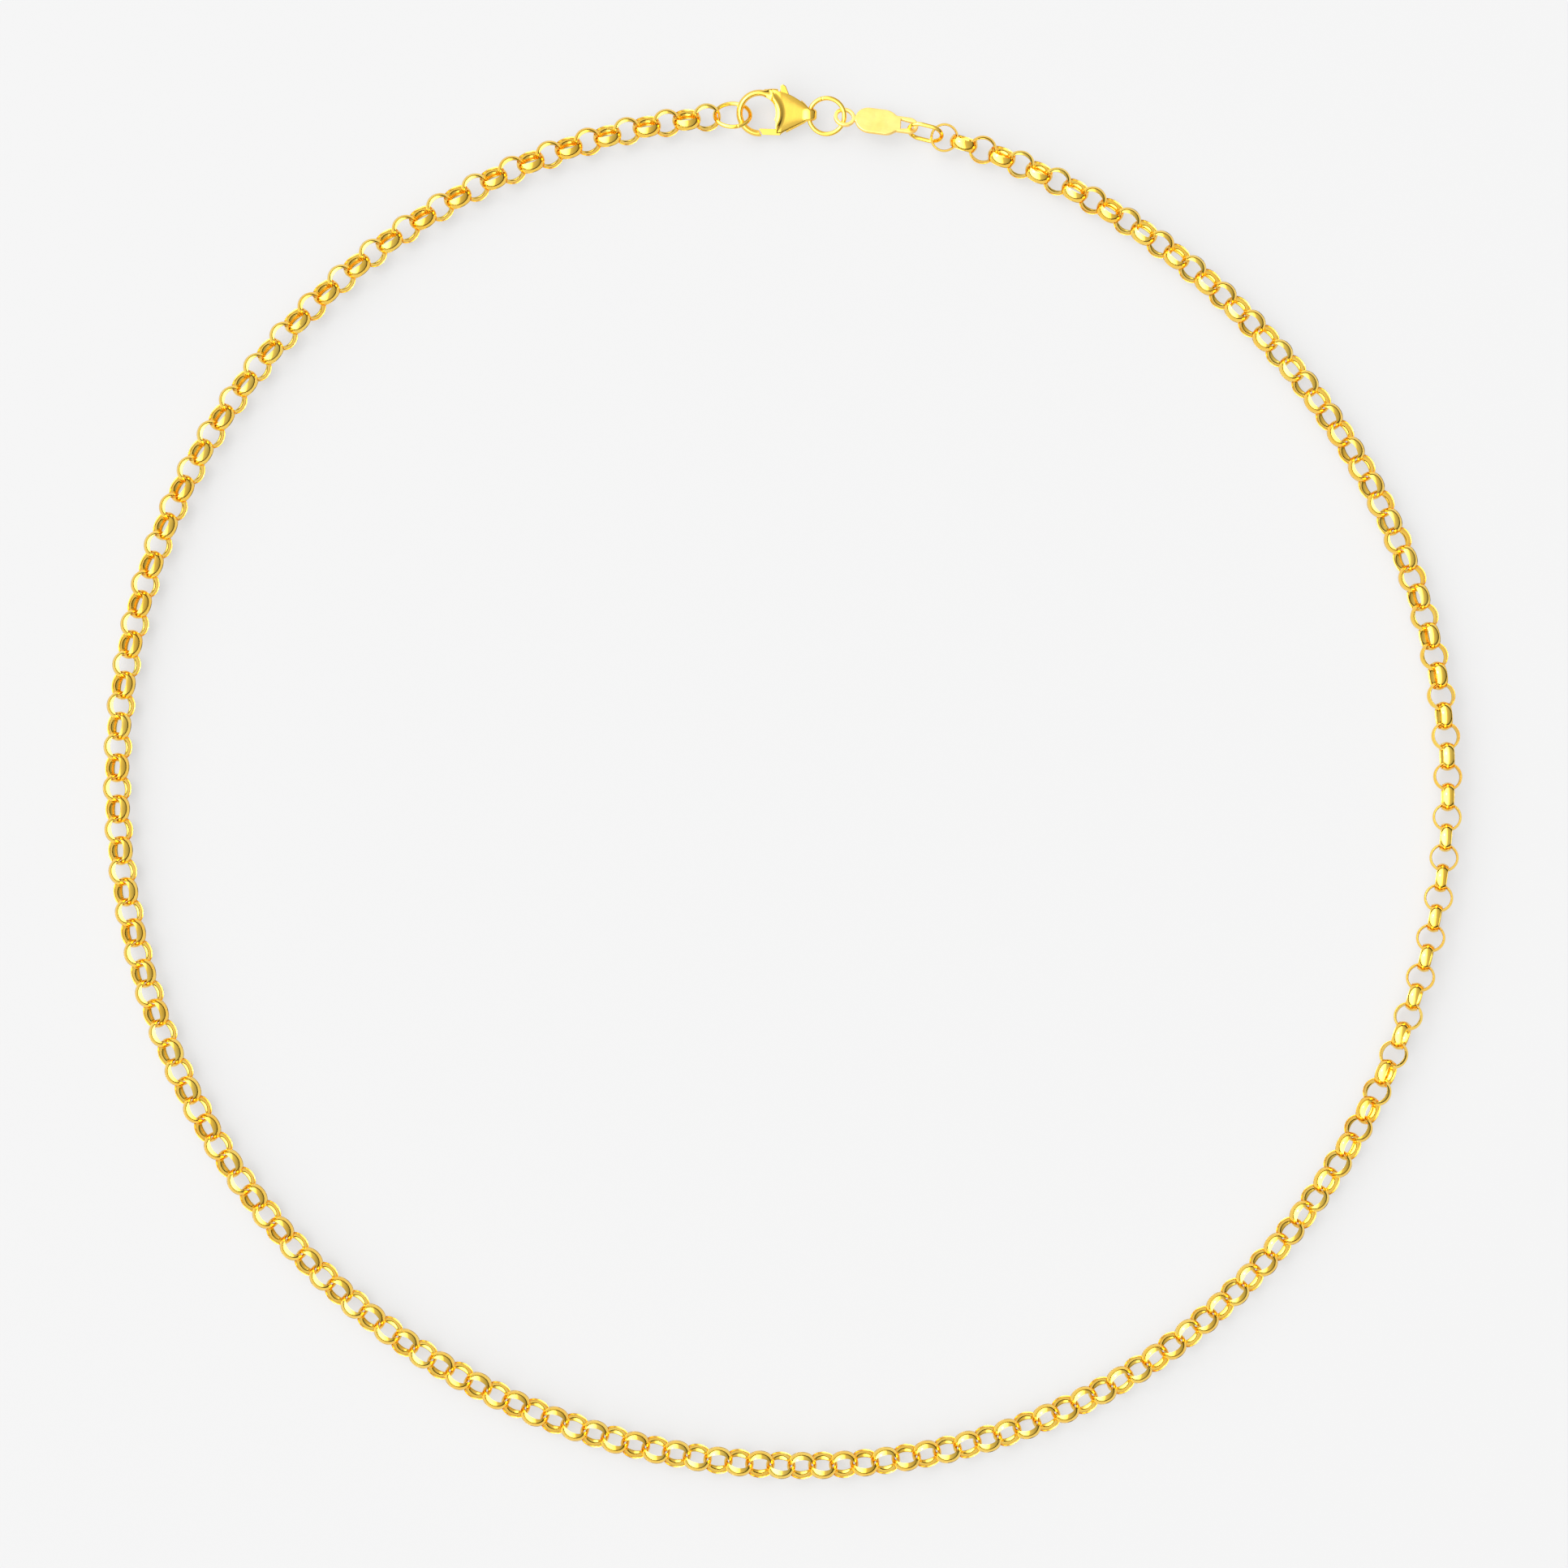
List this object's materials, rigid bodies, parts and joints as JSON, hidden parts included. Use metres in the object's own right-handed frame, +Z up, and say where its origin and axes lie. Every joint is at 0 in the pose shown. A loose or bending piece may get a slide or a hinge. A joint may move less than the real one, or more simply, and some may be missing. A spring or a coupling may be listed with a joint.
{
  "type": "chain necklace",
  "caption": "Gold chain necklace of round belcher links closed in a loop by a sprung lobster clasp, with a jump ring, a small plain tag and an oval connector link.",
  "frame": {"origin": "on the table under the middle of the whole outline of the closed necklace", "axes": "+Z up off the table, +Y towards the clasp, +X towards the right-hand side as seen from above"},
  "size_m": [0.1451, 0.1495, 0.0031],
  "materials": {
    "polished_gold": "mirror-polished yellow gold plating",
    "satin_gold": "flat satin yellow gold plating",
    "spring_gold": "drawn spring wire"
  },
  "bodies": {
    "bottom_chain": {"bottom_chain": "polished_gold"},
    "left_chain_01": {"left_chain_01": "polished_gold"},
    "left_chain_02": {"left_chain_02": "polished_gold"},
    "left_chain_03": {"left_chain_03": "polished_gold"},
    "left_chain_04": {"left_chain_04": "polished_gold"},
    "left_chain_05": {"left_chain_05": "polished_gold", "left_chain_06": "polished_gold"},
    "left_chain_07": {"left_chain_07": "polished_gold"},
    "left_chain_08": {"left_chain_08": "polished_gold"},
    "left_chain_09": {"left_chain_09": "polished_gold"},
    "left_chain_10": {"left_chain_10": "polished_gold"},
    "left_chain_11": {"left_chain_11": "polished_gold"},
    "left_chain_12": {"left_chain_12": "polished_gold"},
    "left_chain_13": {"left_chain_13": "polished_gold"},
    "left_chain_14": {"left_chain_14": "polished_gold"},
    "left_chain_15": {"left_chain_15": "polished_gold"},
    "left_chain_16": {"left_chain_16": "polished_gold"},
    "left_chain_17": {"left_chain_17": "polished_gold"},
    "left_chain_18": {"left_chain_18": "polished_gold"},
    "left_chain_19": {"left_chain_19": "polished_gold"},
    "left_chain_20": {"left_chain_20": "polished_gold"},
    "left_chain_21": {"left_chain_21": "polished_gold"},
    "left_chain_22": {"left_chain_22": "polished_gold"},
    "left_chain_23": {"left_chain_23": "polished_gold"},
    "left_chain_24": {"left_chain_24": "polished_gold"},
    "right_chain_01": {"right_chain_01": "polished_gold"},
    "right_chain_02": {"right_chain_02": "polished_gold"},
    "right_chain_03": {"right_chain_03": "polished_gold"},
    "right_chain_04": {"right_chain_04": "polished_gold"},
    "right_chain_05": {"right_chain_05": "polished_gold", "right_chain_06": "polished_gold"},
    "right_chain_07": {"right_chain_07": "polished_gold"},
    "right_chain_08": {"right_chain_08": "polished_gold"},
    "right_chain_09": {"right_chain_09": "polished_gold"},
    "right_chain_10": {"right_chain_10": "polished_gold"},
    "right_chain_11": {"right_chain_11": "polished_gold"},
    "right_chain_12": {"right_chain_12": "polished_gold"},
    "right_chain_13": {"right_chain_13": "polished_gold"},
    "right_chain_14": {"right_chain_14": "polished_gold"},
    "right_chain_15": {"right_chain_15": "polished_gold"},
    "right_chain_16": {"right_chain_16": "polished_gold"},
    "right_chain_17": {"right_chain_17": "polished_gold"},
    "right_chain_18": {"right_chain_18": "polished_gold"},
    "right_chain_19": {"right_chain_19": "polished_gold"},
    "right_chain_20": {"right_chain_20": "polished_gold"},
    "right_chain_21": {"right_chain_21": "polished_gold"},
    "right_chain_22": {"right_chain_22": "polished_gold"},
    "right_chain_23": {"right_chain_23": "polished_gold"},
    "right_chain_24": {"right_chain_24": "polished_gold"},
    "end_ring": {"end_ring": "polished_gold"},
    "clasp_body": {"clasp_body": "polished_gold", "clasp_rivet": "polished_gold", "clasp_spring": "spring_gold"},
    "clasp_lever": {"clasp_lever": "polished_gold"},
    "jump_ring": {"jump_ring": "polished_gold"},
    "tag": {"tag": "satin_gold"},
    "connector_link": {"connector_link": "polished_gold"}
  },
  "joints": [
    {"name": "left_bend_01", "type": "hinge", "parent": "bottom_chain", "child": "left_chain_01", "pos_m": [-0.00653, -0.07286, 0.00157], "axis": [0, 0, 1], "range_deg": [-5.24, 5.24]},
    {"name": "left_bend_02", "type": "hinge", "parent": "left_chain_01", "child": "left_chain_02", "pos_m": [-0.01733, -0.07085, 0.00157], "axis": [0, 0, 1], "range_deg": [-4.65, 4.65]},
    {"name": "left_bend_03", "type": "hinge", "parent": "left_chain_02", "child": "left_chain_03", "pos_m": [-0.02772, -0.0673, 0.00157], "axis": [0, 0, 1], "range_deg": [-3.68, 3.68]},
    {"name": "left_bend_04", "type": "hinge", "parent": "left_chain_03", "child": "left_chain_04", "pos_m": [-0.03749, -0.06226, 0.00157], "axis": [0, 0, 1], "range_deg": [-2.42, 2.42]},
    {"name": "left_bend_05", "type": "hinge", "parent": "left_chain_04", "child": "left_chain_05", "pos_m": [-0.04638, -0.0558, 0.00157], "axis": [0, 0, 1], "range_deg": [-0.91, 0.91]},
    {"name": "left_bend_07", "type": "hinge", "parent": "left_chain_05", "child": "left_chain_07", "pos_m": [-0.05815, -0.0428, 0.00157], "axis": [0, 0, 1], "range_deg": [-1.52, 1.52]},
    {"name": "left_bend_08", "type": "hinge", "parent": "left_chain_07", "child": "left_chain_08", "pos_m": [-0.06271, -0.03528, 0.00157], "axis": [0, 0, 1], "range_deg": [-2.24, 2.24]},
    {"name": "left_bend_09", "type": "hinge", "parent": "left_chain_08", "child": "left_chain_09", "pos_m": [-0.0663, -0.02726, 0.00157], "axis": [0, 0, 1], "range_deg": [-3.16, 3.16]},
    {"name": "left_bend_10", "type": "hinge", "parent": "left_chain_09", "child": "left_chain_10", "pos_m": [-0.06891, -0.01886, 0.00157], "axis": [0, 0, 1], "range_deg": [-8.31, 8.31]},
    {"name": "left_fold_11", "type": "hinge", "parent": "left_chain_10", "child": "left_chain_11", "pos_m": [-0.07054, -0.01022, 0.00157], "axis": [1, 0, 0], "range_deg": [-12, 12]},
    {"name": "left_fold_12", "type": "hinge", "parent": "left_chain_11", "child": "left_chain_12", "pos_m": [-0.07098, -0.00584, 0.00157], "axis": [1, 0, 0], "range_deg": [-12, 12]},
    {"name": "left_fold_13", "type": "hinge", "parent": "left_chain_12", "child": "left_chain_13", "pos_m": [-0.07117, -0.00145, 0.00157], "axis": [1, 0, 0], "range_deg": [-12, 12]},
    {"name": "left_fold_14", "type": "hinge", "parent": "left_chain_13", "child": "left_chain_14", "pos_m": [-0.07111, 0.00295, 0.00157], "axis": [1, 0, 0], "range_deg": [-12, 12]},
    {"name": "left_fold_15", "type": "hinge", "parent": "left_chain_14", "child": "left_chain_15", "pos_m": [-0.0708, 0.00733, 0.00157], "axis": [1, 0, 0], "range_deg": [-12, 12]},
    {"name": "left_bend_16", "type": "hinge", "parent": "left_chain_15", "child": "left_chain_16", "pos_m": [-0.0694, 0.01601, 0.00157], "axis": [0, 0, 1], "range_deg": [-9.46, 9.46]},
    {"name": "left_bend_17", "type": "hinge", "parent": "left_chain_16", "child": "left_chain_17", "pos_m": [-0.06696, 0.02446, 0.00157], "axis": [0, 0, 1], "range_deg": [-2.97, 2.97]},
    {"name": "left_bend_18", "type": "hinge", "parent": "left_chain_17", "child": "left_chain_18", "pos_m": [-0.06349, 0.03254, 0.00157], "axis": [0, 0, 1], "range_deg": [-2.31, 2.31]},
    {"name": "left_bend_19", "type": "hinge", "parent": "left_chain_18", "child": "left_chain_19", "pos_m": [-0.05904, 0.04012, 0.00157], "axis": [0, 0, 1], "range_deg": [-1.47, 1.47]},
    {"name": "left_bend_20", "type": "hinge", "parent": "left_chain_19", "child": "left_chain_20", "pos_m": [-0.05368, 0.04709, 0.00157], "axis": [0, 0, 1], "range_deg": [-0.52, 0.52]},
    {"name": "left_bend_21", "type": "hinge", "parent": "left_chain_20", "child": "left_chain_21", "pos_m": [-0.04749, 0.05333, 0.00157], "axis": [0, 0, 1], "range_deg": [-0.63, 0.63]},
    {"name": "left_bend_22", "type": "hinge", "parent": "left_chain_21", "child": "left_chain_22", "pos_m": [-0.03877, 0.06001, 0.00157], "axis": [0, 0, 1], "range_deg": [-2.15, 2.15]},
    {"name": "left_bend_23", "type": "hinge", "parent": "left_chain_22", "child": "left_chain_23", "pos_m": [-0.02914, 0.06531, 0.00157], "axis": [0, 0, 1], "range_deg": [-3.46, 3.46]},
    {"name": "left_bend_24", "type": "hinge", "parent": "left_chain_23", "child": "left_chain_24", "pos_m": [-0.01882, 0.06908, 0.00157], "axis": [0, 0, 1], "range_deg": [-4.47, 4.47]},
    {"name": "right_bend_01", "type": "hinge", "parent": "bottom_chain", "child": "right_chain_01", "pos_m": [0.00445, -0.07326, 0.00157], "axis": [0, 0, 1], "range_deg": [-4.8, 4.8]},
    {"name": "right_bend_02", "type": "hinge", "parent": "right_chain_01", "child": "right_chain_02", "pos_m": [0.01536, -0.07195, 0.00157], "axis": [0, 0, 1], "range_deg": [-4.48, 4.48]},
    {"name": "right_bend_03", "type": "hinge", "parent": "right_chain_02", "child": "right_chain_03", "pos_m": [0.0259, -0.06886, 0.00157], "axis": [0, 0, 1], "range_deg": [-3.71, 3.71]},
    {"name": "right_bend_04", "type": "hinge", "parent": "right_chain_03", "child": "right_chain_04", "pos_m": [0.03576, -0.06403, 0.00157], "axis": [0, 0, 1], "range_deg": [-2.57, 2.57]},
    {"name": "right_bend_05", "type": "hinge", "parent": "right_chain_04", "child": "right_chain_05", "pos_m": [0.04467, -0.0576, 0.00157], "axis": [0, 0, 1], "range_deg": [-1.19, 1.19]},
    {"name": "right_bend_07", "type": "hinge", "parent": "right_chain_05", "child": "right_chain_07", "pos_m": [0.05772, -0.04281, 0.00157], "axis": [0, 0, 1], "range_deg": [-1.61, 1.61]},
    {"name": "right_bend_08", "type": "hinge", "parent": "right_chain_07", "child": "right_chain_08", "pos_m": [0.06219, -0.03524, 0.00157], "axis": [0, 0, 1], "range_deg": [-2.24, 2.24]},
    {"name": "right_bend_09", "type": "hinge", "parent": "right_chain_08", "child": "right_chain_09", "pos_m": [0.0658, -0.02722, 0.00157], "axis": [0, 0, 1], "range_deg": [-3.08, 3.08]},
    {"name": "right_bend_10", "type": "hinge", "parent": "right_chain_09", "child": "right_chain_10", "pos_m": [0.06851, -0.01885, 0.00157], "axis": [0, 0, 1], "range_deg": [-9.81, 9.81]},
    {"name": "right_fold_11", "type": "hinge", "parent": "right_chain_10", "child": "right_chain_11", "pos_m": [0.07025, -0.01024, 0.00157], "axis": [1, 0, 0], "range_deg": [-12, 12]},
    {"name": "right_fold_12", "type": "hinge", "parent": "right_chain_11", "child": "right_chain_12", "pos_m": [0.07074, -0.00586, 0.00157], "axis": [1, 0, 0], "range_deg": [-12, 12]},
    {"name": "right_fold_13", "type": "hinge", "parent": "right_chain_12", "child": "right_chain_13", "pos_m": [0.07095, -0.00147, 0.00157], "axis": [1, 0, 0], "range_deg": [-12, 12]},
    {"name": "right_fold_14", "type": "hinge", "parent": "right_chain_13", "child": "right_chain_14", "pos_m": [0.07089, 0.00293, 0.00157], "axis": [1, 0, 0], "range_deg": [-12, 12]},
    {"name": "right_fold_15", "type": "hinge", "parent": "right_chain_14", "child": "right_chain_15", "pos_m": [0.07054, 0.00731, 0.00157], "axis": [1, 0, 0], "range_deg": [-12, 12]},
    {"name": "right_bend_16", "type": "hinge", "parent": "right_chain_15", "child": "right_chain_16", "pos_m": [0.069, 0.01596, 0.00157], "axis": [0, 0, 1], "range_deg": [-9.44, 9.44]},
    {"name": "right_bend_17", "type": "hinge", "parent": "right_chain_16", "child": "right_chain_17", "pos_m": [0.06636, 0.02435, 0.00157], "axis": [0, 0, 1], "range_deg": [-2.97, 2.97]},
    {"name": "right_bend_18", "type": "hinge", "parent": "right_chain_17", "child": "right_chain_18", "pos_m": [0.06266, 0.03233, 0.00157], "axis": [0, 0, 1], "range_deg": [-2.33, 2.33]},
    {"name": "right_bend_19", "type": "hinge", "parent": "right_chain_18", "child": "right_chain_19", "pos_m": [0.05803, 0.0398, 0.00157], "axis": [0, 0, 1], "range_deg": [-1.49, 1.49]},
    {"name": "right_bend_20", "type": "hinge", "parent": "right_chain_19", "child": "right_chain_20", "pos_m": [0.05256, 0.04668, 0.00157], "axis": [0, 0, 1], "range_deg": [-0.53, 0.53]},
    {"name": "right_bend_21", "type": "hinge", "parent": "right_chain_20", "child": "right_chain_21", "pos_m": [0.04635, 0.0529, 0.00157], "axis": [0, 0, 1], "range_deg": [-0.488, 0.488]},
    {"name": "right_bend_22", "type": "hinge", "parent": "right_chain_21", "child": "right_chain_22", "pos_m": [0.03948, 0.05839, 0.00157], "axis": [0, 0, 1], "range_deg": [-1.48, 1.48]},
    {"name": "right_bend_23", "type": "hinge", "parent": "right_chain_22", "child": "right_chain_23", "pos_m": [0.03203, 0.06306, 0.00157], "axis": [0, 0, 1], "range_deg": [-2.39, 2.39]},
    {"name": "right_bend_24", "type": "hinge", "parent": "right_chain_23", "child": "right_chain_24", "pos_m": [0.02407, 0.0668, 0.00157], "axis": [0, 0, 1], "range_deg": [-2.98, 2.98]},
    {"name": "end_ring_bend", "type": "hinge", "parent": "left_chain_24", "child": "end_ring", "pos_m": [-0.00794, 0.07118, 0.00157], "axis": [0, 0, 1], "range_deg": [-4.14, 4.14]},
    {"name": "connector_bend", "type": "hinge", "parent": "right_chain_24", "child": "connector_link", "pos_m": [0.01646, 0.06933, 0.00157], "axis": [0, 0, 1], "range_deg": [-4.81, 4.81]},
    {"name": "tag_roll", "type": "hinge", "parent": "connector_link", "child": "tag", "pos_m": [0.01291, 0.07018, 0.00157], "axis": [0.9787, -0.2052, 0], "range_deg": [-18, 2]},
    {"name": "jump_ring_roll", "type": "hinge", "parent": "tag", "child": "jump_ring", "pos_m": [0.00592, 0.07165, 0.00157], "axis": [0.9787, -0.2052, 0], "range_deg": [-2, 18]},
    {"name": "clasp_bend", "type": "hinge", "parent": "jump_ring", "child": "clasp_body", "pos_m": [0.00201, 0.07156, 0.00157], "axis": [0, 0, 1], "range_deg": [-6.67, 6.67]},
    {"name": "lever_pivot", "type": "hinge", "parent": "clasp_body", "child": "clasp_lever", "pos_m": [-0.00055, 0.07064, 0.00126], "axis": [-0.0044, -0.309, 0.9511], "range_deg": [-26, 0], "stiffness_Nm_per_rad": 0.002, "springref_deg": 17.19}
  ],
  "couplings": [
    {"joint": "left_bend_01", "follows": "left_bend_10", "ratio": -0.52519},
    {"joint": "left_bend_02", "follows": "left_bend_10", "ratio": -0.46618},
    {"joint": "left_bend_03", "follows": "left_bend_10", "ratio": -0.36917},
    {"joint": "left_bend_04", "follows": "left_bend_10", "ratio": -0.24252},
    {"joint": "left_bend_05", "follows": "left_bend_10", "ratio": -0.0912},
    {"joint": "left_bend_07", "follows": "left_bend_10", "ratio": 0.15258},
    {"joint": "left_bend_08", "follows": "left_bend_10", "ratio": 0.22467},
    {"joint": "left_bend_09", "follows": "left_bend_10", "ratio": 0.31702},
    {"joint": "left_fold_11", "follows": "right_fold_11", "ratio": 1},
    {"joint": "left_fold_12", "follows": "right_fold_11", "ratio": 1},
    {"joint": "left_fold_13", "follows": "right_fold_11", "ratio": 1},
    {"joint": "left_fold_14", "follows": "right_fold_11", "ratio": 1},
    {"joint": "left_fold_15", "follows": "right_fold_11", "ratio": 1},
    {"joint": "left_bend_16", "follows": "left_bend_10", "ratio": 0.94811},
    {"joint": "left_bend_17", "follows": "left_bend_10", "ratio": 0.29793},
    {"joint": "left_bend_18", "follows": "left_bend_10", "ratio": 0.23187},
    {"joint": "left_bend_19", "follows": "left_bend_10", "ratio": 0.14775},
    {"joint": "left_bend_20", "follows": "left_bend_10", "ratio": 0.05174},
    {"joint": "left_bend_21", "follows": "left_bend_10", "ratio": -0.06327},
    {"joint": "left_bend_22", "follows": "left_bend_10", "ratio": -0.21522},
    {"joint": "left_bend_23", "follows": "left_bend_10", "ratio": -0.34653},
    {"joint": "left_bend_24", "follows": "left_bend_10", "ratio": -0.44848},
    {"joint": "right_bend_01", "follows": "left_bend_10", "ratio": 0.4811},
    {"joint": "right_bend_02", "follows": "left_bend_10", "ratio": 0.44883},
    {"joint": "right_bend_03", "follows": "left_bend_10", "ratio": 0.37194},
    {"joint": "right_bend_04", "follows": "left_bend_10", "ratio": 0.25751},
    {"joint": "right_bend_05", "follows": "left_bend_10", "ratio": 0.11971},
    {"joint": "right_bend_07", "follows": "left_bend_10", "ratio": -0.16112},
    {"joint": "right_bend_08", "follows": "left_bend_10", "ratio": -0.22443},
    {"joint": "right_bend_09", "follows": "left_bend_10", "ratio": -0.30929},
    {"joint": "right_bend_10", "follows": "left_bend_10", "ratio": -0.98426},
    {"joint": "right_fold_12", "follows": "right_fold_11", "ratio": 1},
    {"joint": "right_fold_13", "follows": "right_fold_11", "ratio": 1},
    {"joint": "right_fold_14", "follows": "right_fold_11", "ratio": 1},
    {"joint": "right_fold_15", "follows": "right_fold_11", "ratio": 1},
    {"joint": "right_bend_16", "follows": "left_bend_10", "ratio": -0.94665},
    {"joint": "right_bend_17", "follows": "left_bend_10", "ratio": -0.29804},
    {"joint": "right_bend_18", "follows": "left_bend_10", "ratio": -0.23328},
    {"joint": "right_bend_19", "follows": "left_bend_10", "ratio": -0.1496},
    {"joint": "right_bend_20", "follows": "left_bend_10", "ratio": -0.05308},
    {"joint": "right_bend_21", "follows": "left_bend_10", "ratio": 0.04896},
    {"joint": "right_bend_22", "follows": "left_bend_10", "ratio": 0.14886},
    {"joint": "right_bend_23", "follows": "left_bend_10", "ratio": 0.23944},
    {"joint": "right_bend_24", "follows": "left_bend_10", "ratio": 0.2989},
    {"joint": "end_ring_bend", "follows": "left_bend_10", "ratio": -0.41513},
    {"joint": "connector_bend", "follows": "left_bend_10", "ratio": 0.48194},
    {"joint": "jump_ring_roll", "follows": "tag_roll", "ratio": -1},
    {"joint": "clasp_bend", "follows": "left_bend_10", "ratio": 0.66904}
  ]
}
